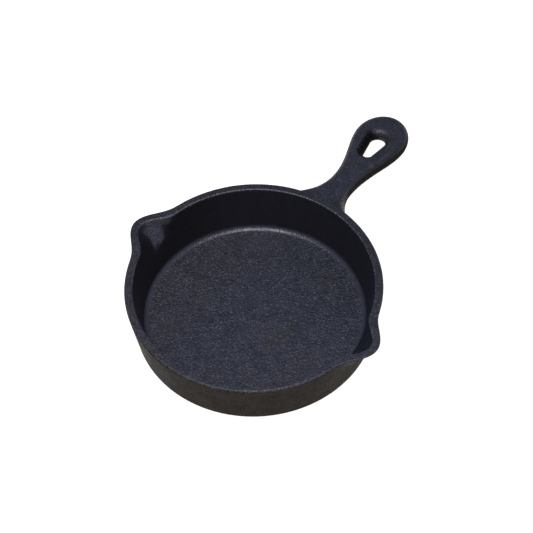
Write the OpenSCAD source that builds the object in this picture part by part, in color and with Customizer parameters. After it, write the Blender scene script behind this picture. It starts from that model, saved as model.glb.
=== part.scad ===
// Small cast iron skillet, a single sand casting described region by region.
// Millimetres, +Z up. The origin is the centre of the flat underside of the pan.
// The handle runs along +Y and the two pour lips point along -X and +X.

/* [Pan] */
// outside diameter across the rim, without the lips
pan_d = 127; // [118:1:136]
// height from the underside to the top of the rim
pan_h = 29; // [27:0.5:33]
// thickness of the side wall, measured level
wall_t = 4.4; // [3.8:0.1:5]
// outward lean of the side wall, mm for each mm of height
wall_lean = 0.16; // [0.1:0.01:0.2]
// thickness of the floor
floor_t = 3; // [2.5:0.5:5]
// radius of the cove between the floor and the wall
floor_cove_r = 3.5; // [3:0.5:5]
// radius of the outside bottom edge
base_edge_r = 3.2; // [2:0.2:4]

/* [Rim] */
// height of the top band of the wall
rim_h = 4; // [3:0.5:5]
// rounding of the outside top edge
rim_outer_r = 1.2; // [0.8:0.1:1.6]
// rounding of the inside top edge
rim_inner_r = 0.9; // [0.6:0.1:1.8]

/* [Pour lips] */
// distance that a lip reaches past the rim
lip_reach = 8.8; // [6:0.2:10]
// depth below the rim at which a lip has faded into the wall
lip_depth = 13.5; // [11:0.5:16]
// half angle of the outside of a lip where it leaves the rim, degrees
lip_half_angle = 22; // [19:1:24]
// half angle of the pouring channel at the rim, degrees
channel_half_angle = 18.5; // [16:0.5:18.5]

/* [Handle] */
// distance from the pan centre to the tip of the handle
handle_reach = 131; // [128:0.5:136]
// width of the narrow neck
neck_w = 13.4; // [12:0.2:15]
// length of the straight part of the neck
neck_straight = 0.5; // [0.5:0.5:3]
// greatest width of the rounded end
loop_w = 27.6; // [26:0.2:30]
// distance from the pan centre to that greatest width
loop_y = 115; // [113:0.5:117]
// radius of the flare from the neck into the pan, on the left
root_left_r = 26; // [18:1:30]
// radius of the flare on the right
root_right_r = 20; // [18:1:30]
// thickness of the handle where it leaves the rim
root_t = 9.6; // [9:0.2:11]
// thickness of the handle at its tip
tip_t = 7.8; // [7:0.2:9]
// depth of the handle's top face below the rim where it leaves the pan
root_drop = 0.6; // [0.4:0.1:1.4]
// depth of the handle's top face below the rim at the tip
tip_drop = 4.6; // [3:0.2:6]
// how far the rounded edges eat into the flat top and bottom faces
edge_inset = 3.2; // [2:0.2:3.4]

/* [Hanging eye] */
// radius of the wide end of the teardrop eye, at mid thickness
eye_wide_r = 3.8; // [3:0.1:4.2]
// radius of the narrow end, towards the pan
eye_narrow_r = 2.2; // [1.6:0.1:2.8]
// distance from the pan centre to the wide end's centre
eye_wide_y = 112.5; // [112:0.5:115]
// distance between the centres of the two ends
eye_span = 9.5; // [8:0.5:10.5]
// widening of the eye towards the top and bottom faces
eye_flare = 4.4; // [3:0.2:4.8]

/* [Hidden] */
$fn = 96;
pan_r = pan_d / 2;
// the wall is counted from a little above the cove
cove_margin = 0.5;
cove_top_z = floor_t + floor_cove_r + cove_margin;
rim_z = pan_h - rim_h;
lip_z = pan_h - lip_depth;
// share of the rim width that a lip keeps where it fades out
lip_low_width = 0.45;
// how quickly a lip grows towards the rim, and how pointed it is seen from above
lip_growth = 1.25;
lip_point = 1.7;
lip_steps = 24;
wall_steps = 7;
round_steps = 4;
fillet_steps = 8;
edge_steps = 8;
curve_steps = 12;
loop_hw = loop_w / 2;
neck_hw = neck_w / 2;
// the flare aims this far inside the wall so that it meets it at a clear angle
root_bite = 0.6;
root_aim_r = pan_r - wall_lean * (root_drop + root_t / 2) - root_bite;
// how far the flank keeps straight on at the neck and at the widest place, as shares of its length
flank_ease = [0.4, 0.3];
// the neck's flat facets stand this far off the round wall, so that they never cut into it
contact_gap = 0.02;
// share of the flank at which the handle is divided into neck and rounded end
flank_split = 0.32;
eye_steps = 12;
iron = [0.13, 0.13, 0.14];
iron_floor = [0.17, 0.18, 0.2];
iron_lip = [0.15, 0.15, 0.17];

// radius of the outside and inside of the wall at height z
function outer_r(z) = pan_r - wall_lean * (pan_h - rim_outer_r - z);
function inner_r(z) = outer_r(z) - wall_t;

// points along an arc, both ends included
function arc(c, r, a0, a1, n) = [for (i = [0:n]) let (a = a0 + (a1 - a0) * i / n)
  c + r * [cos(a), sin(a)]];

lean_angle = atan(wall_lean);
// centres of the roundings, placed so that each arc runs smoothly into the leaning wall
base_edge_c = [outer_r(base_edge_r) - base_edge_r / cos(lean_angle), base_edge_r];
cove_c = [inner_r(floor_t + floor_cove_r) - floor_cove_r / cos(lean_angle), floor_t + floor_cove_r];
rim_outer_c = [outer_r(pan_h - rim_outer_r) - rim_outer_r / cos(lean_angle), pan_h - rim_outer_r];
rim_inner_c = [inner_r(pan_h - rim_inner_r) + rim_inner_r / cos(lean_angle), pan_h - rim_inner_r];

base_edge = arc(base_edge_c, base_edge_r, -90, -lean_angle, fillet_steps);
cove = arc(cove_c, floor_cove_r, -lean_angle, -90, fillet_steps);
rim_round_out = arc(rim_outer_c, rim_outer_r, 90, -lean_angle, round_steps);
rim_round_in = arc(rim_inner_c, rim_inner_r, 180 - lean_angle, 90, round_steps);

// closed solid through a stack of rings with equal point counts, anticlockwise seen from the last ring
// cap lists the triangles that close the first ring, and the last ring is closed the other way round
module loft(rings, cap) {
  n = len(rings[0]);
  last = len(rings) - 1;
  sides = [for (k = [0:last - 1]) for (i = [0:n - 1]) let (j = (i + 1) % n)
    each [[(k + 1) * n + i, (k + 1) * n + j, k * n + j], [(k + 1) * n + i, k * n + j, k * n + i]]];
  last_cap = [for (t = cap) [last * n + t[2], last * n + t[1], last * n + t[0]]];
  polyhedron(points = [for (r = rings) each r], faces = concat(cap, sides, last_cap));
}

// triangles across a ring between points i and n - 1 - i, for i from first
function zip_cap(n, first, last) = [for (i = [first:last - 1])
  each [[i, i + 1, n - 2 - i], [i, n - 2 - i, n - 1 - i]]];

// wedge that holds one lip, from where it fades out to above the rim
module lip_wedge() {
  reach = pan_d;
  translate([0, 0, lip_z])
    linear_extrude(lip_depth + 1)
      polygon([[0, 0], reach * [cos(lip_half_angle), -sin(lip_half_angle)],
        reach * [cos(lip_half_angle), sin(lip_half_angle)]]);
}

module both_lip_wedges() {
  lip_wedge();
  mirror([1, 0, 0]) lip_wedge();
}

module pan_floor() {
  color(iron_floor)
    rotate_extrude()
      polygon(concat([[0, 0]], base_edge,
        [[outer_r(cove_top_z), cove_top_z], [inner_r(cove_top_z), cove_top_z]],
        cove, [[0, floor_t]]));
}

module side_wall() {
  color(iron)
    difference() {
      rotate_extrude()
        polygon([[inner_r(cove_top_z), cove_top_z], [outer_r(cove_top_z), cove_top_z],
          [outer_r(rim_z), rim_z], [inner_r(rim_z), rim_z]]);
      both_lip_wedges();
    }
}

// half of the rim between the lips, on the handle side
module rim_half() {
  side_turn = lip_half_angle;
  rotate([0, 0, side_turn])
    rotate_extrude(angle = 180 - 2 * side_turn)
      polygon(concat([[outer_r(rim_z), rim_z], [inner_r(rim_z), rim_z]],
        rim_round_in, rim_round_out));
}

module rim_handle_side() {
  color(iron) rim_half();
}

module rim_far_side() {
  color(iron) rotate([0, 0, 180]) rim_half();
}

// growth of a lip with height, from nothing at its foot to one at the rim
function lip_share(z) = max(0, min(1, (z - lip_z) / lip_depth));

// how far the skin is pushed out at an angle off the lip's middle, at height z
function lip_push(off, half, z) =
  let (s = lip_share(z), w = half * (lip_low_width + (1 - lip_low_width) * s))
  abs(off) >= w ? 0 : lip_reach * pow(s, lip_growth) * pow(0.5 + 0.5 * cos(180 * off / w), lip_point);

// wall section from the lip's foot up the inside, over the rim and down the outside
lip_in = concat(
  [for (i = [0:wall_steps]) let (z = lip_z + (rim_round_in[0][1] - lip_z) * i / wall_steps)
    [inner_r(z), z]],
  [for (i = [1:round_steps]) rim_round_in[i]]);
lip_out = concat(
  [for (i = [0:round_steps - 1]) rim_round_out[i]],
  [for (i = [wall_steps:-1:0]) let (z = lip_z + (rim_round_out[round_steps][1] - lip_z) * i / wall_steps)
    [outer_r(z), z]]);

// that section swung to an angle and pushed out by the lip
function lip_ring(off) = concat(
  [for (p = lip_in) let (r = p[0] + lip_push(off, channel_half_angle, p[1]))
    [r * cos(off), r * sin(off), p[1]]],
  [for (p = lip_out) let (r = p[0] + lip_push(off, lip_half_angle, p[1]))
    [r * cos(off), r * sin(off), p[1]]]);

module pour_lip() {
  rings = [for (i = [0:lip_steps]) lip_ring(lip_half_angle * (2 * i / lip_steps - 1))];
  n = len(rings[0]);
  loft(rings, zip_cap(n, 0, n / 2 - 1));
}

module pour_lip_left() {
  color(iron_lip) rotate([0, 0, 180]) pour_lip();
}

module pour_lip_right() {
  color(iron_lip) pour_lip();
}

// thickness and middle height of the handle at distance y from the pan centre
function along(y) = (y - pan_r) / (handle_reach - pan_r);
function handle_t(y) = root_t + (tip_t - root_t) * along(y);
function handle_mid_z(y) = pan_h - root_drop - (tip_drop - root_drop) * along(y) - handle_t(y) / 2;

// a point of a flat outline lifted to share h of the handle's half thickness
function lift(p, h) = [p[0], p[1], handle_mid_z(p[1]) + h * handle_t(p[1]) / 2];

// outside radius of the wall and of the rounded rim above it
function skin_r(z) =
  z <= rim_outer_c[1] ? outer_r(z)
  : rim_outer_c[0] + sqrt(max(0, pow(rim_outer_r, 2) - pow(z - rim_outer_c[1], 2)));

// centre of a flare of radius r, tangent to the neck and just biting into the wall
function root_c(r) = [neck_hw + r, sqrt(pow(root_aim_r + r, 2) - pow(neck_hw + r, 2))];

// flank of the handle: an S from straight up at the neck to straight up at the widest place
function flank(s, r) =
  let (from = root_c(r)[1] + neck_straight, run = loop_y - from)
  pow(1 - s, 3) * [neck_hw, from] + 3 * pow(1 - s, 2) * s * [neck_hw, from + flank_ease[0] * run]
  + 3 * (1 - s) * pow(s, 2) * [loop_hw, loop_y - flank_ease[1] * run] + pow(s, 3) * [loop_hw, loop_y];
// outward direction along the flank, square to its run on either side of s
flank_reach = 0.01;
function flank_out(s, r) =
  let (d = flank(min(1, s + flank_reach), r) - flank(max(0, s - flank_reach), r))
  [d[1], -d[0]] / norm(d);

// turn along the root flare, drawn in by g, at which it meets the wall at share h of the thickness
function root_start(g, h, r) =
  let (wall = skin_r(lift([0, pan_r], h)[2]), c = root_c(r), far = norm(c), near = r + g)
  180 + atan2(c[1], c[0]) - acos((pow(far, 2) + pow(near, 2) - pow(wall, 2)) / (2 * far * near));

// side of the neck with a flare of radius r, drawn in by g, from the wall to the rounded end
function neck_side(g, h, r) = concat(
  arc(root_c(r), r + g, root_start(g, h, r), 180, curve_steps),
  [for (i = [0:curve_steps]) let (s = flank_split * i / curve_steps)
    flank(s, r) - g * (i == curve_steps ? [1, 0] : flank_out(s, r))]);

// a point on the wall's skin at turn a around the pan
function on_wall(a, h) =
  let (z = lift([0, pan_r * sin(a)], h)[2]) (skin_r(z) + contact_gap) * [cos(a), sin(a)];

// side of the rounded end, up the rest of the flank and round to the tip
function loop_side(r) = concat(
  [for (i = [0:curve_steps]) flank(flank_split + (1 - flank_split) * i / curve_steps, r)],
  [for (i = [1:2 * curve_steps]) let (a = 45 * i / curve_steps)
    [loop_hw * cos(a), loop_y + (handle_reach - loop_y) * sin(a)]]);

function mirrored(side, from) = [for (i = [from:-1:0]) [-side[i][0], side[i][1]]];

// outward direction at point i of an outline whose ends face straight to the sides
function out_dir(line, i) =
  let (last = len(line) - 1, d = line[min(last, i + 1)] - line[max(0, i - 1)])
  i == 0 || i == last ? [sign(line[i][0]), 0] : [d[1], -d[0]] / norm(d);

// an outline drawn in by the rounded edge, -90 at the bottom face and 90 at the top face
function edge_ring(line, dirs, turn) = [for (i = [0:len(line) - 1])
  lift(line[i] - dirs[i] * edge_inset * (1 - cos(turn)), sin(turn))];

// the neck's outline at one step around the rounded edge, closed along the wall
function neck_ring(turn) =
  let (g = edge_inset * (1 - cos(turn)), h = sin(turn),
    right = neck_side(g, h, root_right_r), left = neck_side(g, h, root_left_r),
    from = atan2(right[0][1], right[0][0]), to = 180 - atan2(left[0][1], left[0][0]))
  [for (p = concat(right, mirrored(left, len(left) - 1),
    [for (i = [2 * curve_steps - 1:-1:1])
      on_wall(from + (to - from) * i / (2 * curve_steps), h)])) lift(p, h)];

// triangles that close the neck's outline: two fans along the flares, then straight across
function neck_cap() =
  let (c = curve_steps, side_n = 2 * c + 2, both_n = 2 * side_n, arc_n = 2 * c)
  concat(
    [for (j = [0:c - 1]) let (near = both_n + arc_n - 1 - j, far = near - 1)
      each j == 0 ? [[0, 1, far]] : [[j, j + 1, far], [j, far, near]]],
    [for (j = [0:c - 1]) let (at = both_n - 1 - j, near = both_n + j - 1, far = both_n + j)
      each j == 0 ? [[at - 1, at, far]] : [[at - 1, at, near], [at - 1, near, far]]],
    [[c, both_n - 1 - c, both_n + c - 1]],
    zip_cap(both_n, c, side_n - 1));

module handle_neck() {
  color(iron)
    loft([for (k = [0:edge_steps]) neck_ring(-90 + 180 * k / edge_steps)], neck_cap());
}

// teardrop outline grown by g, anticlockwise from the far end of its wide side
eye_turn = acos((eye_narrow_r - eye_wide_r) / eye_span);
eye_half = concat(
  [for (i = [0:eye_steps]) [eye_wide_y, eye_wide_r, eye_turn * i / eye_steps]],
  [for (i = [0:eye_steps / 2])
    [eye_wide_y - eye_span, eye_narrow_r, eye_turn + (180 - eye_turn) * 2 * i / eye_steps]]);
eye_whole = concat(
  [for (e = eye_half) [e[0], e[1], -e[2]]],
  [for (i = [len(eye_half) - 2:-1:1]) eye_half[i]]);
function eye_outline(g) = [for (e = eye_whole) [0, e[0]] + (e[1] + g) * [sin(e[2]), cos(e[2])]];

// the rounded end as one skin: outside edge, flared eye, flat faces and the square face to the neck
module handle_end() {
  tip = len(loop_side(root_right_r)) - 1;
  line = concat(loop_side(root_right_r), mirrored(loop_side(root_left_r), tip - 1));
  dirs = [for (i = [0:len(line) - 1]) out_dir(line, i)];
  turns = [for (k = [0:edge_steps]) -90 + 180 * k / edge_steps];
  outer = [for (a = turns) edge_ring(line, dirs, a)];
  inner = [for (a = turns) [for (p = eye_outline(eye_flare * (1 - cos(a)))) lift(p, sin(a))]];
  on = len(line);
  en = len(eye_whole);
  eye_at = on * (edge_steps + 1);
  outside = [for (k = [0:edge_steps - 1]) for (i = [0:on - 2]) let (lo = k * on + i, hi = lo + on)
    each [[hi, hi + 1, lo + 1], [hi, lo + 1, lo]]];
  eye_wall = [for (k = [0:edge_steps - 1]) for (i = [0:en - 1])
    let (j = (i + 1) % en, lo = eye_at + k * en, hi = lo + en)
    each [[lo + i, lo + j, hi + j], [lo + i, hi + j, hi + i]]];
  // each outline point is joined to the eye point that lies as far round
  beside = [for (i = [0:on - 1]) (en / 2 + round(i * en / 2 / tip)) % en];
  low = concat(
    [for (i = [0:on - 2]) [i, i + 1, eye_at + beside[i]]],
    [for (i = [0:on - 2]) if (beside[i + 1] != beside[i])
      [i + 1, eye_at + beside[i + 1], eye_at + beside[i]]],
    [[on - 1, 0, eye_at + en / 2]]);
  top = [for (t = low) [for (i = [2:-1:0]) t[i] + edge_steps * (t[i] < eye_at ? on : en)]];
  neck_face = [for (k = [0:edge_steps - 1]) let (r = k * on, l = r + on - 1)
    each [[r, l, l + on], [r, l + on, r + on]]];
  polyhedron(
    points = concat([for (r = outer) each r], [for (r = inner) each r]),
    faces = concat(outside, eye_wall, low, top, neck_face));
}

module handle_loop() {
  color(iron) handle_end();
}

pan_floor();
side_wall();
rim_handle_side();
rim_far_side();
pour_lip_left();
pour_lip_right();
handle_neck();
handle_loop();
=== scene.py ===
"""Small cast iron skillet: one dark, pebbled sand casting with two pour lips and a looped handle.

Every region of the casting is one closed skin. Neighbouring regions share the same border points
and the same surface normals, so that they read as a single piece of metal.
Shapes are worked out in millimetres and handed to Blender in metres.
"""
from math import atan, cos, radians, sin, sqrt

import bpy
import numpy as np
from mathutils import Matrix, Vector, noise


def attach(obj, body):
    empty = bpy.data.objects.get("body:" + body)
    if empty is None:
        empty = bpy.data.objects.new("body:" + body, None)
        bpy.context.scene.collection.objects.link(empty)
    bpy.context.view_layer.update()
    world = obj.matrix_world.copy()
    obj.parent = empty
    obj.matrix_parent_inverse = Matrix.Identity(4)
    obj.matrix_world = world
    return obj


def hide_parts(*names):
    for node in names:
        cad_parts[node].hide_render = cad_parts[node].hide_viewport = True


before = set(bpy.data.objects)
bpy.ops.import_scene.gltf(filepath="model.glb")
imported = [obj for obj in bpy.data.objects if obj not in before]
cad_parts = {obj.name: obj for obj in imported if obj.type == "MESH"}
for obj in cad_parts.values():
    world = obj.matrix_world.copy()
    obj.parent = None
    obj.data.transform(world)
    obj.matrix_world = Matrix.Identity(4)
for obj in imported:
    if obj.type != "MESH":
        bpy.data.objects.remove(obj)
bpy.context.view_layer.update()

MM = 0.001

# ---------------------------------------------------------------- dimensions of the casting, mm
PAN_R = 63.5              # outside radius where the rim's rounding starts
PAN_H = 29.0
WALL_T = 4.4
WALL_LEAN = 0.16          # outward run for each unit of height
FLOOR_T = 3.0
COVE_R = 3.5
BASE_EDGE_R = 3.2
FLOOR_COLLAR = 0.5        # height of wall above the cove that belongs to the floor's region
COVE_TOP_Z = FLOOR_T + COVE_R + FLOOR_COLLAR
RIM_Z = 25.0              # where the rim's band starts
RIM_OUTER_R = 1.2         # rounding of the rim's edges
RIM_INNER_R = 0.9

LIP_REACH = 8.8           # how far a lip stands out at the rim
LIP_DEPTH = 13.5          # from the rim down to its foot
LIP_Z = PAN_H - LIP_DEPTH
LIP_HALF = 22.0           # half angle of a lip's outside, degrees
CHANNEL_HALF = 18.5       # half angle of its channel, degrees
LIP_LOW_WIDTH = 0.45      # width at the lip's foot as a share of its width at the rim
LIP_GROWTH = 1.25         # power of its reach against height
LIP_POINT = 1.7           # power that makes the lip more pointed than a cosine

HANDLE_REACH = 131.0      # from the pan's axis to the tip
NECK_HW = 6.7             # half width
NECK_STRAIGHT = 0.5       # straight stretch past the flares
LOOP_HW = 13.8            # half width of the rounded end
LOOP_Y = 115.0            # its widest place
ROOT_LEFT_R = 26.0        # radii of the flares into the pan
ROOT_RIGHT_R = 20.0
ROOT_T = 9.6              # thickness at the rim
TIP_T = 7.8
ROOT_DROP = 0.6           # how far the top lies under the rim, at the rim and at the tip
TIP_DROP = 4.6
EDGE_INSET = 3.2          # how far the rounded edge draws the flat faces in
FLANK_EASE = (0.4, 0.3)   # pull of the flank's curve at the neck and at the widest place
FLANK_SPLIT = 0.32        # share of the flank that belongs to the neck
ROOT_BITE = 0.6           # how far a flare's circle sinks into the wall
ROOT_AIM_R = PAN_R - WALL_LEAN * (ROOT_DROP + ROOT_T / 2) - ROOT_BITE
RIM_SINK = 0.9            # how far the neck's end sinks into the wall
LEAST_OVERLAP = 0.02      # least overlap of a flare's circle and the round it starts from
BLEND_START = 0.6         # how far inside the rim's rounding the handle's top starts to drop
BLEND_RUN = 9.0           # distance past that rounding over which it drops away from the rim
BULGE_FADE = 1.6          # how soon the neck's cross lines lose the round of the wall
BULGE_POWER = 1.5

EYE_WIDE_R = 3.8          # radii of its two ends at mid thickness
EYE_NARROW_R = 2.2
EYE_WIDE_Y = 112.5        # centre of the far end
EYE_SPAN = 9.5            # between the centres of its ends
EYE_FLARE = 4.4           # growth of its outline from mid thickness to the faces
EYE_NECK_SHARE = 0.17     # share of its outline that faces the neck

SAND_WAVES = ((9.0, 0.055), (3.1, 0.045), (1.5, 0.03))    # size and depth of each unevenness

# ---------------------------------------------------------------- fineness of the skins
TURN_STEPS = 540          # steps around the pan
FLOOR_RINGS = 56
UNDERSIDE_RINGS = 26
COVE_STEPS = 14
BASE_EDGE_STEPS = 10
FOOT_STEPS = 8            # rings outside, from the base's rounded edge to the height of the cove's top
LEVEL_STEPS = (8, 16, 5, 7, 3)    # rings between the wall's four heights, round its edge, over half its top
EDGE_STEPS = 20           # steps round the handle's rounded edge, bottom to top
FACE_COLUMNS = 26         # steps straight across the neck
FLAT_STEPS = 12           # steps from the handle's edge to the eye
FLARE_STEPS = 34          # steps along the flare into the pan
NECK_STEPS = 22           # steps along the neck's part of the flank
LOOP_STEPS = 36           # steps along the rounded end's part of it
TIP_STEPS = 42            # steps from the widest place to the tip

# shares from 0 to 1 that the material reads at each point
MARKS = ("inner_wall", "outside", "edge", "lip", "deep", "cove")


# ---------------------------------------------------------------- meshes
class Skin:
    """Points and faces of one region; hidden faces close it where it meets its neighbours."""

    def __init__(self, name, slot):
        self.name = name
        self.slot = slot
        self.faces = []
        self.seen = []

    def add(self, faces, seen=True):
        self.faces += [tuple(int(i) for i in f) for f in faces]
        self.seen += [seen] * len(faces)


def face_normals(points, faces):
    """Area-weighted normal of every three- or four-sided face."""
    corners = np.array([f if len(f) == 4 else (*f, f[2]) for f in faces])
    a, b, c, d = (points[corners[:, i]] for i in range(4))
    return np.cross(c - a, d - b) + (np.cross(b - a, c - a) * (corners[:, 2] == corners[:, 3])[:, None])


def point_normals(points, skins):
    """Smooth normals of the whole casting, from its seen faces only."""
    total = np.zeros_like(points)
    for skin in skins:
        faces = [f for f, seen in zip(skin.faces, skin.seen) if seen]
        normals = face_normals(points, faces)
        for corner in range(4):
            rows = [i for i, f in enumerate(faces) if corner < len(f)]
            np.add.at(total, [faces[i][corner] for i in rows], normals[rows])
    length = np.linalg.norm(total, axis=1, keepdims=True)
    return total / np.maximum(length, 1e-12)


def sand_cast(points, normals):
    """Sink the skin by the gentle unevenness that a sand mould leaves, never outwards."""
    depth = np.zeros(len(points))
    for size, amount in SAND_WAVES:
        field = [noise.noise(Vector(p / size), noise_basis="PERLIN_ORIGINAL") for p in points]
        depth += amount * (0.5 + 0.5 * np.clip(np.array(field), -1, 1))
    return points - normals * depth[:, None]


def weld(points, skins):
    """Give points that lie on one another a single number."""
    _, first, same = np.unique(np.round(points, 5), axis=0, return_index=True, return_inverse=True)
    same = same.ravel()
    for skin in skins:
        kept = [(tuple(dict.fromkeys(same[list(f)])), s) for f, s in zip(skin.faces, skin.seen)]
        skin.faces = [f for f, s in kept if len(f) > 2]
        skin.seen = [s for f, s in kept if len(f) > 2]
    return points[first], first


def face_outwards(points, skin):
    """Turn a closed region's faces the right way round."""
    corners = np.array([(f[0], f[i], f[i + 1]) for f in skin.faces for i in range(1, len(f) - 1)])
    a, b, c = (points[corners[:, i]] for i in range(3))
    if np.einsum("ij,ij->", a, np.cross(b, c)) < 0:
        skin.faces = [f[::-1] for f in skin.faces]


def make_piece(skin, points, normals, marks, material):
    """One Blender object for one region, with the normals and marks of the whole casting."""
    used = sorted({i for f in skin.faces for i in f})
    place = {old: new for new, old in enumerate(used)}
    mesh = bpy.data.meshes.new(skin.name)
    mesh.from_pydata((points[used] * MM).tolist(), [], [[place[i] for i in f] for f in skin.faces])
    for name, values in marks.items():
        layer = mesh.attributes.new(name, "FLOAT", "POINT")
        layer.data.foreach_set("value", values[used].astype(np.float32))
    mesh.polygons.foreach_set("use_smooth", [True] * len(mesh.polygons))
    flat = face_normals(points, skin.faces)
    flat /= np.maximum(np.linalg.norm(flat, axis=1, keepdims=True), 1e-12)
    split = [normals[i] if seen else flat[n]
             for n, (f, seen) in enumerate(zip(skin.faces, skin.seen)) for i in f]
    mesh.normals_split_custom_set([tuple(v) for v in split])
    mesh.materials.append(material)
    piece = bpy.data.objects.new("skin_" + skin.name, mesh)
    bpy.context.scene.collection.objects.link(piece)
    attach(piece, "root")
    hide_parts(skin.name)


def build(points, marks, skins, materials):
    """Weld the regions of one group, cast them in sand and make their objects."""
    points, first = weld(points, skins)
    marks = {name: values[first] for name, values in marks.items()}
    for skin in skins:
        face_outwards(points, skin)
    points = sand_cast(points, point_normals(points, skins))
    normals = point_normals(points, skins)
    for skin in skins:
        make_piece(skin, points, normals, marks, materials[skin.slot])


# ---------------------------------------------------------------- the pan
def outer_r(z):
    """Outside radius of the wall at height z."""
    return PAN_R - WALL_LEAN * (PAN_H - RIM_OUTER_R - z)


def inner_r(z):
    """Inside radius of the wall at height z."""
    return outer_r(z) - WALL_T


def arc(centre, radius, start, end, steps):
    """Points along an arc given in degrees, both ends included."""
    return [(centre[0] + radius * cos(radians(start + (end - start) * i / steps)),
             centre[1] + radius * sin(radians(start + (end - start) * i / steps)))
            for i in range(steps + 1)]


def straight(start, end, steps):
    """Points from start towards end, the last one left out."""
    return [tuple(np.array(start) + (np.array(end) - np.array(start)) * i / steps) for i in range(steps)]


LEAN = atan(WALL_LEAN)
LEAN_DEG = LEAN * 180 / np.pi
BASE_EDGE_C = (outer_r(BASE_EDGE_R) - BASE_EDGE_R / cos(LEAN), BASE_EDGE_R)
COVE_C = (inner_r(FLOOR_T + COVE_R) - COVE_R / cos(LEAN), FLOOR_T + COVE_R)
RIM_OUTER_C = (outer_r(PAN_H - RIM_OUTER_R) - RIM_OUTER_R / cos(LEAN), PAN_H - RIM_OUTER_R)
RIM_INNER_C = (inner_r(PAN_H - RIM_INNER_R) + RIM_INNER_R / cos(LEAN), PAN_H - RIM_INNER_R)


def wall_side(radius_at, round_c, round_r, round_start):
    """One side of the wall from the top of the cove to the middle of the rim's top."""
    mid_top = ((RIM_INNER_C[0] + RIM_OUTER_C[0]) / 2, PAN_H)
    rounding = arc(round_c, round_r, round_start, 90, LEVEL_STEPS[3])
    levels = [(radius_at(z), z) for z in (COVE_TOP_Z, LIP_Z, RIM_Z)] + [rounding[0]]
    side = []
    for low, high, steps in zip(levels, levels[1:], LEVEL_STEPS):
        side += straight(low, high, steps)
    return side + rounding[:-1] + straight(rounding[-1], mid_top, LEVEL_STEPS[4]) + [mid_top]


def pan_profile():
    """The half section from the floor's centre over the rim to the underside's centre."""
    cove = arc(COVE_C, COVE_R, -90, -LEAN_DEG, COVE_STEPS)
    edge = arc(BASE_EDGE_C, BASE_EDGE_R, -LEAN_DEG, -90, BASE_EDGE_STEPS)
    inside = wall_side(inner_r, RIM_INNER_C, RIM_INNER_R, 180 - LEAN_DEG)
    outside = wall_side(outer_r, RIM_OUTER_C, RIM_OUTER_R, -LEAN_DEG)[::-1]
    floor = straight((0, FLOOR_T), cove[0], FLOOR_RINGS)
    down = outside[1:] + straight(outside[-1], edge[0], FOOT_STEPS)[1:] + edge
    base = straight(edge[-1], (0, 0), UNDERSIDE_RINGS)[1:] + [(0, 0)]
    return np.array(floor + cove + inside + down + base), len(floor) + len(cove), len(inside) - 1


def lip_push(off, half, z):
    """How far a lip pushes the skin out at an angle off its middle, at height z."""
    share = np.clip((z - LIP_Z) / LIP_DEPTH, 0, 1)
    width = half * (LIP_LOW_WIDTH + (1 - LIP_LOW_WIDTH) * share)
    bell = np.power(0.5 + 0.5 * np.cos(np.pi * np.clip(np.abs(off) / width, 0, 1)), LIP_POINT)
    return LIP_REACH * share ** LIP_GROWTH * bell


def ramp(values, low, high):
    """0 below low, 1 above high, smooth between."""
    share = np.clip((values - low) / (high - low), 0, 1)
    return share * share * (3 - 2 * share)


def stripe(values, start, full, fade, end):
    """1 from full to fade, 0 before start and past end, smooth between."""
    return ramp(values, start, full) * (1 - ramp(values, fade, end))


class PanGrid:
    """Numbers of the pan's points, which lie in rings along the profile and steps around the pan.

    A level is the pair of rings at one height of the wall, inside and outside; level 0 is at the
    top of the cove and the last level, where the two rings are one, is the middle of the rim's top."""

    def __init__(self, first, rise):
        self.first = first
        self.rise = rise

    def at(self, ring, step):
        return ring * TURN_STEPS + step % TURN_STEPS

    def cells(self, rings, steps):
        at = self.at
        return [(at(k, a), at(k + 1, a), at(k + 1, a + 1), at(k, a + 1)) for k in rings for a in steps]

    def level(self, n):
        """Inside and outside ring of level n."""
        return self.first + n, self.first + 2 * self.rise - n

    def sides(self, low, high, steps):
        """Seen faces of the wall between two levels, inside and outside."""
        (low_in, low_out), (high_in, high_out) = self.level(low), self.level(high)
        return self.cells([*range(low_in, high_in), *range(high_out, low_out)], steps)

    def shelf(self, n, steps, faces_up):
        """Hidden level faces across the wall."""
        at, (i, o) = self.at, self.level(n)
        quads = [(at(i, a), at(o, a), at(o, a + 1), at(i, a + 1)) for a in steps]
        return quads if faces_up else [q[::-1] for q in quads]

    def end(self, step, low, high, forwards):
        """Hidden upright faces across the wall."""
        quads = []
        for n in range(low, high):
            (low_in, low_out), (high_in, high_out) = self.level(n), self.level(n + 1)
            quads.append(tuple(self.at(ring, step) for ring in (low_in, high_in, high_out, low_out)))
        return quads if forwards else [q[::-1] for q in quads]


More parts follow.
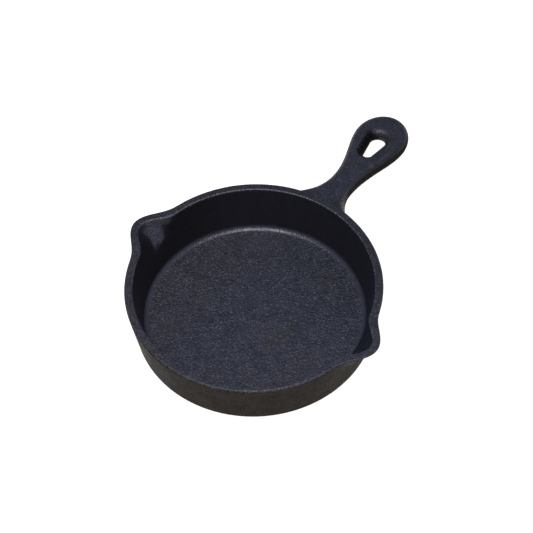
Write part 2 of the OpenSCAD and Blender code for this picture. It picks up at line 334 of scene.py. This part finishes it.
def pan_points():
    """All points of the pan, their marks and their grid."""
    profile, first, rise = pan_profile()
    top = first + rise
    rings = np.arange(len(profile))
    turn = np.arange(TURN_STEPS) * 360.0 / TURN_STEPS
    off = (turn + 90) % 180 - 90
    radius, height = profile[:, :1], profile[:, 1:]
    half = np.where(rings <= top, CHANNEL_HALF, LIP_HALF)[:, None].astype(float)
    push = lip_push(off[None, :], half, height)
    push[top] = (lip_push(off, CHANNEL_HALF, PAN_H) + lip_push(off, LIP_HALF, PAN_H)) / 2
    reach = radius + push
    points = np.stack([reach * np.cos(np.radians(turn)), reach * np.sin(np.radians(turn)),
                       np.repeat(height, TURN_STEPS, axis=1)], axis=2).reshape(-1, 3)
    inside = np.repeat(rings, TURN_STEPS) <= top
    on_left = points[:, 0] < 0
    above_floor = points[:, 2] - FLOOR_T
    below_rim = PAN_H - points[:, 2]
    marks = dict.fromkeys(MARKS, np.zeros(len(points)))
    marks["inner_wall"] = np.where(inside, ramp(above_floor, 0.7, 2.2) * ramp(below_rim, 0.4, 1.2), 0.0)
    marks["outside"] = np.where(inside, 0.0, ramp(below_rim, 0.02, 0.3))
    marks["edge"] = np.where(inside, stripe(below_rim, 0.0, 0.1, 0.4, 0.8),
                             stripe(below_rim, 0.0, 0.2, 0.5, 1.1))
    marks["lip"] = np.where(on_left, (push / LIP_REACH).reshape(-1), 0.0)
    marks["cove"] = np.where(inside, stripe(above_floor, 0.0, 0.15, 0.9, 2.0), 0.0)
    return points, marks, PanGrid(first, rise)


def make_pan(materials):
    """Floor, wall, the two arcs of the rim and the two pour lips."""
    points, marks, grid = pan_points()
    all_steps = range(TURN_STEPS)
    half_turn = TURN_STEPS // 2
    lip_steps = round(LIP_HALF * TURN_STEPS / 360)
    lip_level, top_level = LEVEL_STEPS[0], grid.rise
    rim_level = lip_level + LEVEL_STEPS[1]
    lips = {"pour_lip_right": range(-lip_steps, lip_steps),
            "pour_lip_left": range(half_turn - lip_steps, half_turn + lip_steps)}
    rims = {"rim_handle_side": range(lip_steps, half_turn - lip_steps),
            "rim_far_side": range(half_turn + lip_steps, TURN_STEPS - lip_steps)}

    floor = Skin("pan_floor", "iron_floor")
    last_ring = len(points) // TURN_STEPS - 1
    floor.add(grid.cells([*range(0, grid.first), *range(grid.level(0)[1], last_ring)], all_steps))
    floor.add(grid.shelf(0, all_steps, True), False)
    wall = Skin("side_wall", "iron_wall")
    wall.add(grid.sides(0, lip_level, all_steps))
    wall.add(grid.shelf(0, all_steps, False), False)
    skins = [floor, wall]
    for name, steps in rims.items():
        wall.add(grid.sides(lip_level, rim_level, steps))
        wall.add(grid.shelf(rim_level, steps, True), False)
        rim = Skin(name, "iron_rim")
        rim.add(grid.sides(rim_level, top_level, steps))
        rim.add(grid.shelf(rim_level, steps, False), False)
        rim.add(grid.end(steps[-1] + 1, rim_level, top_level, True), False)
        rim.add(grid.end(steps[0], rim_level, top_level, False), False)
        skins.append(rim)
    for name, steps in lips.items():
        wall.add(grid.shelf(lip_level, steps, True), False)
        wall.add(grid.end(steps[0], lip_level, rim_level, True), False)
        wall.add(grid.end(steps[-1] + 1, lip_level, rim_level, False), False)
        spout = Skin(name, "iron_rim")
        spout.add(grid.sides(lip_level, top_level, steps))
        spout.add(grid.shelf(lip_level, steps, False), False)
        spout.add(grid.end(steps[-1] + 1, lip_level, top_level, True), False)
        spout.add(grid.end(steps[0], lip_level, top_level, False), False)
        skins.append(spout)
    build(points, marks, skins, materials)


# ---------------------------------------------------------------- the handle
EDGE_TURNS = [-90 + 180 * k / EDGE_STEPS for k in range(EDGE_STEPS + 1)]
HEIGHTS = [sin(radians(t)) for t in EDGE_TURNS]


def skin_r(z):
    """Outside radius of the wall and of its rounded top edge."""
    if z <= RIM_OUTER_C[1]:
        return outer_r(z)
    return RIM_OUTER_C[0] + sqrt(max(0, RIM_OUTER_R ** 2 - (z - RIM_OUTER_C[1]) ** 2))


def lift(x, y, h):
    """Height of the handle's skin at a share h of its half thickness; its top starts level with the rim."""
    along = (y - PAN_R) / (HANDLE_REACH - PAN_R)
    thick = ROOT_T + (TIP_T - ROOT_T) * along
    fall = (TIP_DROP - ROOT_DROP) * along
    mid = PAN_H - ROOT_DROP - fall - thick / 2
    near = 1 - float(ramp(np.hypot(x, y), RIM_OUTER_C[0] - BLEND_START, RIM_OUTER_C[0] + BLEND_RUN))
    return mid + h * thick / 2 + (ROOT_DROP + fall) * near * max(0.0, h)


def root_centre(r):
    """Centre of a flare of radius r, tangent to the neck and just biting into the wall."""
    return np.array([NECK_HW + r, sqrt((ROOT_AIM_R + r) ** 2 - (NECK_HW + r) ** 2)])


def flank(s, r):
    """The flank as an S from straight up at the neck to straight up at the widest place."""
    begin = root_centre(r)[1] + NECK_STRAIGHT
    run = LOOP_Y - begin
    pulls = [(NECK_HW, begin), (NECK_HW, begin + FLANK_EASE[0] * run),
             (LOOP_HW, LOOP_Y - FLANK_EASE[1] * run), (LOOP_HW, LOOP_Y)]
    shares = [(1 - s) ** 3, 3 * (1 - s) ** 2 * s, 3 * (1 - s) * s ** 2, s ** 3]
    return sum(np.array(p) * w for p, w in zip(pulls, shares))


def flank_out(s, r, step=0.01):
    """Unit vector out of the flank."""
    run = flank(min(1, s + step), r) - flank(max(0, s - step), r)
    return np.array([run[1], -run[0]]) / np.linalg.norm(run)


def drawn_in(turn_deg):
    """How far the rounded edge draws the outline in, at a turn of -90 underneath to 90 on top."""
    return EDGE_INSET * (1 - cos(radians(turn_deg)))


def neck_side(turn_deg, r):
    """Side of the neck, drawn in by the rounded edge, from inside the wall to the rounded end."""
    drawn = drawn_in(turn_deg)
    centre = root_centre(r)
    far, near = np.linalg.norm(centre), r + drawn
    wall = max(skin_r(lift(0, PAN_R, sin(radians(turn_deg)))) - RIM_SINK, far - near + LEAST_OVERLAP)
    begin = 180 + np.degrees(np.arctan2(centre[1], centre[0])) - np.degrees(
        np.arccos((far ** 2 + near ** 2 - wall ** 2) / (2 * far * near)))
    flare = [np.array(p) for p in arc(centre, near, begin, 180, FLARE_STEPS)]
    shares = [FLANK_SPLIT * i / NECK_STEPS for i in range(1, NECK_STEPS + 1)]
    return flare + [flank(s, r) - drawn * flank_out(s, r) for s in shares]


def loop_side(turn_deg, r):
    """Side of the rounded end, drawn in by the rounded edge, from the neck to the tip."""
    drawn = drawn_in(turn_deg)
    shares = [FLANK_SPLIT + (1 - FLANK_SPLIT) * i / LOOP_STEPS for i in range(LOOP_STEPS + 1)]
    line = [flank(s, r) - drawn * flank_out(s, r) for s in shares]
    depth = HANDLE_REACH - LOOP_Y
    for i in range(1, TIP_STEPS + 1):
        a = radians(90 * i / TIP_STEPS)
        out = np.array([cos(a) / LOOP_HW, sin(a) / depth])
        line.append(np.array([LOOP_HW * cos(a), LOOP_Y + depth * sin(a)]) - drawn * out / np.linalg.norm(out))
    return line


def both_sides(side):
    """A side line at every height, on the right and, with the left flare's radius, on the left."""
    rights = [side(t, ROOT_RIGHT_R) for t in EDGE_TURNS]
    lefts = [[p * (-1, 1) for p in side(t, ROOT_LEFT_R)] for t in EDGE_TURNS]
    return rights, lefts


def eye_point(a, grown):
    """Point of the teardrop eye grown outwards, at share a of a turn from the far end, to the right."""
    lean = np.arccos((EYE_NARROW_R - EYE_WIDE_R) / EYE_SPAN)
    wide, narrow = EYE_WIDE_R + grown, EYE_NARROW_R + grown
    side = EYE_SPAN * sin(lean)
    lengths = [wide * lean, side, narrow * (np.pi - lean)]
    mirror = 1 if a <= 0.5 else -1
    run = (a if a <= 0.5 else 1 - a) * 2 * sum(lengths)
    if run <= lengths[0]:
        t = run / wide
        return mirror * wide * sin(t), EYE_WIDE_Y + wide * cos(t)
    if run <= lengths[0] + lengths[1]:
        share = (run - lengths[0]) / side
        r = wide + (narrow - wide) * share
        return mirror * r * sin(lean), EYE_WIDE_Y - EYE_SPAN * share + r * cos(lean)
    t = lean + (run - lengths[0] - lengths[1]) / narrow
    return mirror * narrow * sin(t), EYE_WIDE_Y - EYE_SPAN + narrow * cos(t)


def eye_shares(outline_count):
    """Share of the eye's turn that faces each outline point, spread evenly on the flanks and at the neck."""
    flanks = 0.5 - EYE_NECK_SHARE / 2
    around = [flanks * (1 - 2 * n / (outline_count - 1)) for n in range(outline_count)]
    return around + [-flanks - EYE_NECK_SHARE * j / FACE_COLUMNS for j in range(1, FACE_COLUMNS)]


FLANK_SHADE = 0.85         # most painted shade on the handle's flanks
FLANK_SHADE_Y = (62.0, 86.0)    # where it starts and where it is full
EYE_SHADE = 0.25           # most painted shade low on the eye's right side
EYE_FAR_PALE = 0.6        # how much less brown the eye's far end is


class HandlePoints:
    """The handle's points, each with its shares of the brown outside and of painted shade."""

    def __init__(self):
        self.points = []
        self.brown = []
        self.shade_share = []

    def put(self, x, y, h, brown, shade_share=None):
        """Add a point at a share h of the half thickness; painted shade covers the flanks beyond the pan."""
        if shade_share is None:
            beyond_pan, below_top = ramp(y, *FLANK_SHADE_Y), ramp(0.99 - h, 0.0, 1.1)
            shade_share = FLANK_SHADE * float(beyond_pan * below_top) * (brown > 0)
        self.points.append((x, y, lift(x, y, h)))
        self.brown.append(brown)
        self.shade_share.append(shade_share)
        return len(self.points) - 1

    def put_edge(self, x, y, h):
        """Add a point of the rounded edge, which is brown except on top."""
        return self.put(x, y, h, 1 - max(0, h) ** 2)

    def put_eye(self, a, turn):
        """Add a point of the eye's flared wall; painted shade covers its left side up to the brim."""
        h = sin(turn)
        x, y = eye_point(a, EYE_FLARE * (1 - cos(turn)))
        far = float(ramp(y, EYE_WIDE_Y + 1.0, EYE_WIDE_Y + 5.0))
        left = float(ramp(-x, -2.0, 2.5)) * (1 - far)
        brim_shade = float(ramp(0.995 - h, 0.0, 0.06))
        low_shade = EYE_SHADE * float(ramp(0.7 - h, 0.0, 0.7))
        brown = (1 - max(0, h) ** 2) * (1 - EYE_FAR_PALE * far)
        return self.put(x, y, h, brown, left * brim_shade + (1 - left) * low_shade)


def across(right, left, share, wall, bulge):
    """Point between the neck's two sides; near the pan the line bulges to follow the wall's round."""
    x, y = right * (1 - share) + left * share
    over_right, over_left = (sqrt(wall ** 2 - side[0] ** 2) for side in (right, left))
    return x, y + bulge * (sqrt(wall ** 2 - x ** 2) - over_right * (1 - share) - over_left * share)


def neck_section(cloud, rights, lefts, i):
    """Closed section of the neck: up the right side, over the top, down the left side and back."""
    bulge = max(0.0, 1 - i / (len(rights[0]) - 1) * BULGE_FADE) ** BULGE_POWER

    def face(k, columns, h, brown):
        wall = np.hypot(*rights[k][0])
        return [cloud.put(*across(rights[k][i], lefts[k][i], j / FACE_COLUMNS, wall, bulge), h, brown)
                for j in columns]

    up = [cloud.put_edge(*rights[k][i], HEIGHTS[k]) for k in range(EDGE_STEPS + 1)]
    top = face(EDGE_STEPS, range(1, FACE_COLUMNS), 1, 0)
    down = [cloud.put_edge(*lefts[k][i], HEIGHTS[k]) for k in range(EDGE_STEPS, -1, -1)]
    return up + top + down + face(0, range(FACE_COLUMNS - 1, 0, -1), -1, 1)


def closing(section):
    """Hidden face across a section: each upper point is joined to the lower one beside it."""
    right = EDGE_STEPS // 2
    return [(section[right + i], section[right + i + 1], section[right - i - 1], section[right - i])
            for i in range(len(section) // 2)]


def make_neck(cloud):
    """The neck, from inside the wall to the rounded end."""
    rights, lefts = both_sides(neck_side)
    sections = [neck_section(cloud, rights, lefts, i) for i in range(len(rights[0]))]
    count = len(sections[0])
    neck = Skin("handle_neck", "iron_handle")
    for low, high in zip(sections, sections[1:]):
        neck.add([(low[(i + 1) % count], high[(i + 1) % count], high[i], low[i]) for i in range(count)])
    neck.add([f[::-1] for f in closing(sections[0])], False)
    neck.add(closing(sections[-1]), False)
    return neck


def between(start, end, share):
    """Point at a share of the way from start to end."""
    return start[0] + (end[0] - start[0]) * share, start[1] + (end[1] - start[1]) * share


def loop_outline(right, left):
    """Outline of the rounded end at one height: right flank, tip, left flank and the seam with the neck."""
    shares = [1 - j / FACE_COLUMNS for j in range(1, FACE_COLUMNS)]
    return right + left[-2::-1] + [right[0] * (1 - s) + left[0] * s for s in shares]


def make_loop(cloud):
    """The rounded end: each ring runs up the edge, over the top to the eye, down it and back underneath."""
    rights, lefts = both_sides(loop_side)
    outlines = [loop_outline(right, left) for right, left in zip(rights, lefts)]
    outline_count = 2 * len(rights[0]) - 1
    rings = []
    for n, share in enumerate(eye_shares(outline_count)):
        a = share % 1.0
        brim = eye_point(a, EYE_FLARE)

        def flat(k, steps, h, brown):
            return [cloud.put(*between(outlines[k][n], brim, s / FLAT_STEPS), h, brown) for s in steps]

        edge = [cloud.put_edge(*outlines[k][n], HEIGHTS[k]) for k in range(EDGE_STEPS + 1)]
        top = flat(EDGE_STEPS, range(1, FLAT_STEPS), 1, 0)
        eye = [cloud.put_eye(a, radians(90 - 180 * k / EDGE_STEPS)) for k in range(EDGE_STEPS + 1)]
        rings.append(edge + top + eye + flat(0, range(FLAT_STEPS - 1, 0, -1), -1, 1))
    size = len(rings[0])
    end = Skin("handle_loop", "iron_handle")
    for n, low in enumerate(rings):
        high = rings[(n + 1) % len(rings)]
        quads = [(high[i], high[(i + 1) % size], low[(i + 1) % size], low[i]) for i in range(size)]
        end.add(quads[:EDGE_STEPS], n < outline_count - 1)
        end.add(quads[EDGE_STEPS:])
    return end


def make_handle(materials):
    """Neck and rounded end."""
    cloud = HandlePoints()
    skins = [make_neck(cloud), make_loop(cloud)]
    marks = dict.fromkeys(MARKS, np.zeros(len(cloud.points)))
    marks["outside"] = np.array(cloud.brown, float)
    marks["deep"] = np.array(cloud.shade_share, float)
    build(np.array(cloud.points), marks, skins, materials)


# ---------------------------------------------------------------- materials
# colours, linear; a pair is the darker and the lighter end of a pattern
BLUE_IRON = ((0.0076, 0.0094, 0.0168), (0.0122, 0.0146, 0.0246))
BROWN_HAZE = (0.0192, 0.0156, 0.0168)
LEFT_HAZE = (0.0150, 0.0132, 0.0145)
DENT = (0.004, 0.004, 0.006)
# bright flecks: painted glints on the pebbles, which are also smoother
BRIGHT_FLECK = (0.10, 0.10, 0.125)
# painted shade on the inner wall, and painted blue light on its right
INNER_WALL_SHADE = (0.0068, 0.0063, 0.0100)
INNER_WALL_BLUE_LIGHT = (0.0036, 0.0058, 0.0120)
# painted highlight along the cove
COVE_HIGHLIGHT = (0.026, 0.025, 0.039)
# painted light in the left lip's channel: its scoop and the band above
LIP_LIGHT = ((0.016, 0.017, 0.024), (0.042, 0.045, 0.062))
LIP_BAND_LIGHT = (0.019, 0.0175, 0.0175)
# painted shade, laid over the colour in places
SHADE = (0.001, 0.001, 0.001)
DULL_OUTSIDE = ((0.0146, 0.0116, 0.0088), (0.0196, 0.0156, 0.0120))
DULL_PATCH = (0.0250, 0.0186, 0.0138)
# painted shade on the handle's eye and flanks, and the lighter flecks in it
HANDLE_SHADE = (0.0036, 0.0037, 0.0050)
HANDLE_SHADE_FLECK = (0.026, 0.026, 0.033)
RUBBED_EDGE = (0.068, 0.068, 0.080)

# sizes of the patterns, mm
FINE_GRAIN = 0.55
PIT_SIZE = 0.6
PEBBLE_SIZE = 1.05
BLOTCH_SIZE = 4.5
PATCH_SIZE = 12
STREAK_SCALE = (0.5, 0.5, 0.06)    # streaks for each mm along x, y and z
GRAIN_DEPTH = 0.00026     # metres


class Nodes:
    """Short ways to add and join the nodes of one material."""

    def __init__(self, name):
        self.material = bpy.data.materials.new(name)
        self.material.use_nodes = True
        self.tree = self.material.node_tree
        self.surface = self.tree.nodes["Principled BSDF"].inputs    # the shader's sockets

    def node(self, kind, **values):
        """A new node, with values for its sockets or its settings."""
        made = self.tree.nodes.new(kind)
        for key, value in values.items():
            if key in made.inputs:
                made.inputs[key].default_value = value
            else:
                setattr(made, key, value)
        return made

    def join(self, out, into):
        self.tree.links.new(out, into)

    def feed(self, value, socket):
        """Join a socket, or set a number or colour on it."""
        if isinstance(value, tuple):
            socket.default_value = (*value, 1)
        elif isinstance(value, (int, float)):
            socket.default_value = value
        else:
            self.join(value, socket)

    def math(self, operation, *values):
        made = self.node("ShaderNodeMath", operation=operation)
        for value, socket in zip(values, made.inputs):
            self.feed(value, socket)
        return made.outputs[0]

    def plus(self, a, b):
        return self.math("ADD", a, b)

    def minus(self, a, b):
        return self.math("SUBTRACT", a, b)

    def times(self, a, b, *more):
        product = self.math("MULTIPLY", a, b)
        return self.times(product, *more) if more else product

    def mark(self, name):
        """One of the MARKS that the meshes carry."""
        return self.node("ShaderNodeAttribute", attribute_name=name).outputs["Fac"]

    def spread(self, value, low, high, out_low=0.0, out_high=1.0):
        """Smooth step from out_low at low to out_high at high."""
        made = self.node("ShaderNodeMapRange", interpolation_type="SMOOTHSTEP")
        self.join(value, made.inputs["Value"])
        limits = {"From Min": low, "From Max": high, "To Min": out_low, "To Max": out_high}
        for name, number in limits.items():
            made.inputs[name].default_value = number
        return made.outputs["Result"]

    def blend(self, share, under, over):
        """One colour over another, by its share."""
        made = self.node("ShaderNodeMix", data_type="RGBA")
        for value, socket in ((share, made.inputs[0]), (under, made.inputs[6]), (over, made.inputs[7])):
            self.feed(value, socket)
        return made.outputs[2]

    def texture(self, kind, place, **values):
        """A texture node that reads the given place."""
        made = self.node(kind, **values)
        self.join(place, made.inputs["Vector"])
        return made


def upright_streaks(n, mm):
    """Drips of baked oil that run up and down the outside."""
    tall = n.node("ShaderNodeVectorMath", operation="MULTIPLY")
    n.join(mm, tall.inputs[0])
    tall.inputs[1].default_value = STREAK_SCALE
    return n.texture("ShaderNodeTexNoise", tall.outputs[0], Scale=1.0, Detail=2.0).outputs["Fac"]


class IronPatterns:
    """Places and patterns that the iron's colour, sheen and grain share."""

    def __init__(self, n):
        scaled = n.node("ShaderNodeVectorMath", operation="SCALE", Scale=1 / MM)
        n.join(n.node("ShaderNodeTexCoord").outputs["Object"], scaled.inputs[0])
        mm = scaled.outputs[0]
        axes = n.node("ShaderNodeSeparateXYZ")
        n.join(mm, axes.inputs[0])
        self.right, self.along, self.up = axes.outputs
        self.outside, self.edge, self.deep, self.lip, self.cove = (
            n.mark(name) for name in ("outside", "edge", "deep", "lip", "cove"))

        def cloud(size, rough=0.5):
            made = n.texture("ShaderNodeTexNoise", mm, Scale=1 / size, Detail=3, Roughness=rough)
            return made.outputs["Fac"]

        self.patches = cloud(PATCH_SIZE)
        self.blotches = cloud(BLOTCH_SIZE)
        self.fine = cloud(FINE_GRAIN, 0.6)
        self.streaks = upright_streaks(n, mm)
        pebbles = n.texture("ShaderNodeTexVoronoi", mm,
                            feature="SMOOTH_F1", Scale=1 / PEBBLE_SIZE, Smoothness=0.45)
        self.pebbles = pebbles.outputs["Distance"]
        pits = n.texture("ShaderNodeTexVoronoi", mm, feature="F1", Scale=1 / PIT_SIZE)
        chance = n.node("ShaderNodeSeparateColor")
        n.join(pits.outputs["Color"], chance.inputs[0])
        self.chance, other_chance = chance.outputs[0], chance.outputs[1]

        wall = n.mark("inner_wall")
        self.scoop, self.groove = self.painted_lip_light(n, n.times(n.spread(self.lip, 0.02, 0.08), wall))
        self.inner = n.minus(wall, self.groove)
        self.dents = n.times(n.spread(other_chance, 0.86, 0.98), n.minus(1.0, self.inner))
        self.bright = n.times(n.spread(self.chance, 0.84, 0.98), self.glint_places(n))

    def painted_lip_light(self, n, in_lip):
        """Painted light in the left lip: its pebbly scoop, and the whole lit place, which is that and the
        band above.
        """
        ragged = n.math("MULTIPLY_ADD", self.blotches, 5.0, -2.5)
        along, up = n.plus(self.along, ragged), n.plus(self.up, ragged)
        scoop = n.times(n.spread(along, -1.8, 0.2), n.spread(along, 5.5, 8.5, 1.0, 0.0),
                        n.times(n.spread(up, 17.0, 19.0), n.spread(self.up, 25.5, 27.4, 1.0, 0.0)), in_lip)
        band = n.times(n.spread(self.up, 24.5, 26.5), n.spread(self.along, 1.0, 4.0), in_lip)
        return scoop, n.math("MAXIMUM", scoop, band)

    def glint_places(self, n):
        """Where bright flecks, painted glints, show: not on the inner wall, and fewer on the handle and the
        cove.
        """
        handle = n.times(n.spread(self.along, 66.0, 78.0), 0.45)
        open_iron = n.minus(n.minus(1.0, self.inner), handle)
        return n.times(open_iron, n.math("MULTIPLY_ADD", self.cove, -0.6, 1.0))


def iron_colour(n, p):
    """Blue-black iron with coats laid over it in turn, each by its share."""
    rubbed = n.times(p.edge, n.spread(p.lip, 0.3, 0.65, 1.0, 0.3))
    rim_top = n.spread(p.up, 28.5, 28.9)
    lip_light_colour = n.blend(n.spread(p.fine, 0.4, 0.62), *LIP_LIGHT)
    dull = n.blend(n.spread(p.streaks, 0.35, 0.65), *DULL_OUTSIDE)
    dull = n.blend(n.times(n.spread(p.patches, 0.45, 0.65), 0.6), dull, DULL_PATCH)
    coats = (
        (n.times(n.spread(p.patches, 0.52, 0.72), 0.45), BROWN_HAZE),
        (n.spread(p.right, -48.0, -8.0, 0.45, 0.0), LEFT_HAZE),
        # dark dents, bright flecks as painted glints, painted shade on the inner wall, a painted highlight
        # along the cove and painted light in the left lip
        (n.times(p.dents, 0.6), DENT),
        (n.times(p.bright, 0.45), BRIGHT_FLECK),
        (n.times(p.inner, 0.9), INNER_WALL_SHADE),
        (n.times(p.cove, 0.8), COVE_HIGHLIGHT),
        (n.times(p.groove, 0.9), lip_light_colour),
        (n.times(n.minus(p.groove, p.scoop), 0.8), LIP_BAND_LIGHT),
        # painted shade at the pan's back, on the rim's top and on the left inner wall; a little darker on the
        # rounded end
        (n.times(n.spread(p.along, 10.0, 45.0), n.spread(p.along, 62.0, 70.0, 0.15, 0.0)), SHADE),
        (n.spread(p.along, 90.0, 110.0, 0.0, 0.16), SHADE),
        (n.times(rim_top, n.spread(p.along, 0.0, 55.0, 0.17, 0.36)), SHADE),
        (n.times(p.inner, n.spread(p.right, -56.0, -38.0, 0.5, 0.0)), SHADE),
        # painted blue light on the right inner wall, darker in the left lip, and browner outside
        (n.times(p.inner, n.spread(p.right, 30.0, 54.0, 0.0, 0.7)), INNER_WALL_BLUE_LIGHT),
        (n.spread(p.lip, 0.25, 0.8, 0.0, 0.3), SHADE),
        (p.outside, dull),
        # painted shade in the eye and on the handle's flanks, flecked lighter, and edges rubbed bright
        (n.times(p.deep, 0.88), HANDLE_SHADE),
        (n.times(p.deep, n.spread(p.chance, 0.72, 0.95), 0.3), HANDLE_SHADE_FLECK),
        (n.times(rubbed, n.spread(p.fine, 0.45, 0.65)), RUBBED_EDGE),
    )
    body = n.blend(n.spread(p.blotches, 0.35, 0.68), *BLUE_IRON)
    for share, colour in coats:
        body = n.blend(share, body, colour)
    return body


def iron_roughness(n, p):
    """Rougher outside, smoother on the bright flecks and along the cove."""
    rough = n.plus(n.spread(p.fine, 0.3, 0.7, 0.36, 0.48), n.spread(p.blotches, 0.3, 0.7, -0.03, 0.05))
    rough = n.minus(rough, n.times(p.bright, 0.12))
    rough = n.plus(rough, n.times(p.outside, 0.08))
    return n.minus(rough, n.times(p.cove, 0.09))


def iron_gloss(n, p):
    """Oiled iron shines; the dry outside and the places of painted shade on the handle hardly do."""
    gloss = n.minus(0.46, n.times(p.outside, 0.445))
    gloss = n.math("MAXIMUM", n.minus(gloss, n.times(p.deep, 0.3)), 0.01)
    return n.minus(gloss, n.times(p.cove, 0.08))


def iron_grain(n, p):
    """Pebbles and fine grit, strong where shade is painted on the handle, weaker outside and nearly gone on
    the inner wall.
    """
    height = n.plus(n.times(p.pebbles, 0.8), n.times(p.fine, 0.8))
    height = n.minus(height, n.times(p.dents, 0.35))
    height = n.times(height, n.plus(1.0, n.times(p.deep, 1.8)))
    grainy = n.minus(1.0, n.plus(n.times(p.inner, 0.75), n.times(p.outside, 0.55)))
    grainy = n.times(grainy, n.math("MULTIPLY_ADD", p.cove, -0.4, 1.0))
    bump = n.node("ShaderNodeBump", Strength=0.9, Distance=GRAIN_DEPTH)
    n.join(n.times(height, grainy), bump.inputs["Height"])
    return bump.outputs[0]


def cast_iron(name):
    """Blue-black seasoned cast iron with a pebbled grain; smoother on the inner wall and darker there by
    painted shade, browner on the outside, rubbed a little brighter along the edges, with painted light and
    shade in places."""
    n = Nodes(name)
    p = IronPatterns(n)
    n.join(iron_colour(n, p), n.surface["Base Color"])
    n.join(iron_roughness(n, p), n.surface["Roughness"])
    n.join(iron_gloss(n, p), n.surface["Specular IOR Level"])
    n.join(iron_grain(n, p), n.surface["Normal"])
    n.surface["Specular Tint"].default_value = (0.95, 0.92, 1.0, 1)
    return n.material


# ---------------------------------------------------------------- floor and light
FLOOR_HALF = 4.0          # metres


def pale_floor():
    """A plain floor that glows like a light table, so that it is white and takes no shadow."""
    corners = [(FLOOR_HALF * x, FLOOR_HALF * y, 0) for x, y in ((-1, -1), (1, -1), (1, 1), (-1, 1))]
    mesh = bpy.data.meshes.new("studio_floor")
    mesh.from_pydata(corners, [], [(0, 1, 2, 3)])
    floor = bpy.data.objects.new("studio_floor", mesh)
    bpy.context.scene.collection.objects.link(floor)
    white = Nodes("studio_white")
    white.surface["Base Color"].default_value = (0.30, 0.30, 0.30, 1)
    white.surface["Roughness"].default_value = 0.9
    white.surface["Emission Color"].default_value = (1.0, 0.98, 0.95, 1)
    white.surface["Emission Strength"].default_value = 1.0
    mesh.materials.append(white.material)


def away_from_pan(azimuth, elevation):
    """Unit vector from the pan towards a place given by its angles in degrees."""
    a, e = radians(azimuth), radians(elevation)
    return Vector((sin(a) * cos(e), -cos(a) * cos(e), sin(e)))


def soft_box(name, azimuth, elevation, distance, size, watts, colour):
    """A square soft light aimed at the pan."""
    light = bpy.data.lights.new(name, "AREA")
    light.shape = "SQUARE"
    light.size = size
    light.energy = watts
    light.color = colour
    made = bpy.data.objects.new(name, light)
    back = away_from_pan(azimuth, elevation)
    made.location = back * distance
    made.rotation_euler = back.to_track_quat("Z", "Y").to_euler()
    bpy.context.scene.collection.objects.link(made)


def studio():
    """Cool even light from all round, and one soft box high above."""
    world = bpy.data.worlds.new("studio_air")
    bpy.context.scene.world = world
    world.use_nodes = True
    air = world.node_tree.nodes["Background"]
    air.inputs["Color"].default_value = (0.80, 0.86, 1.0, 1)
    air.inputs["Strength"].default_value = 0.29
    soft_box("key_above", azimuth=24, elevation=72, distance=1.3, size=0.55, watts=21,
             colour=(0.94, 0.95, 1.0))
    bpy.context.scene.view_settings.view_transform = "Standard"


# ---------------------------------------------------------------- camera
VIEW_AZIMUTH = 35.83      # degrees
VIEW_ELEVATION = 53.23
VIEW_ROLL = -2.54
VIEW_DISTANCE = 1465.0    # mm, from the middle of the rim
VIEW_SHIFT = (-6.3, -9.0)    # mm that the middle of the rim lies to the right and up in the picture
LENS_MM = 202.6
SENSOR_MM = 36.0


def camera():
    """The photograph's viewpoint, with the rim's middle a little off the picture's centre."""
    a, roll = radians(VIEW_AZIMUTH), radians(VIEW_ROLL)
    back = away_from_pan(VIEW_AZIMUTH, VIEW_ELEVATION)
    level = Vector((cos(a), sin(a), 0))
    upright = back.cross(level)
    right = cos(roll) * level + sin(roll) * upright
    up = cos(roll) * upright - sin(roll) * level
    aim = Vector((0, 0, PAN_H)) - right * VIEW_SHIFT[0] - up * VIEW_SHIFT[1]
    made = bpy.data.objects.new("view", bpy.data.cameras.new("view"))
    made.data.lens = LENS_MM
    made.data.sensor_width = SENSOR_MM
    made.data.clip_end = 50
    made.matrix_world = Matrix((
        (right.x, up.x, back.x, 0), (right.y, up.y, back.y, 0), (right.z, up.z, back.z, 0), (0, 0, 0, 1)))
    made.location = (aim + back * VIEW_DISTANCE) * MM
    bpy.context.scene.collection.objects.link(made)
    bpy.context.scene.camera = made


# ---------------------------------------------------------------- build
finishes = {slot: cast_iron(slot) for slot in ("iron_floor", "iron_wall", "iron_rim", "iron_handle")}
make_pan(finishes)
make_handle(finishes)
pale_floor()
studio()
camera()

bpy.context.view_layer.update()
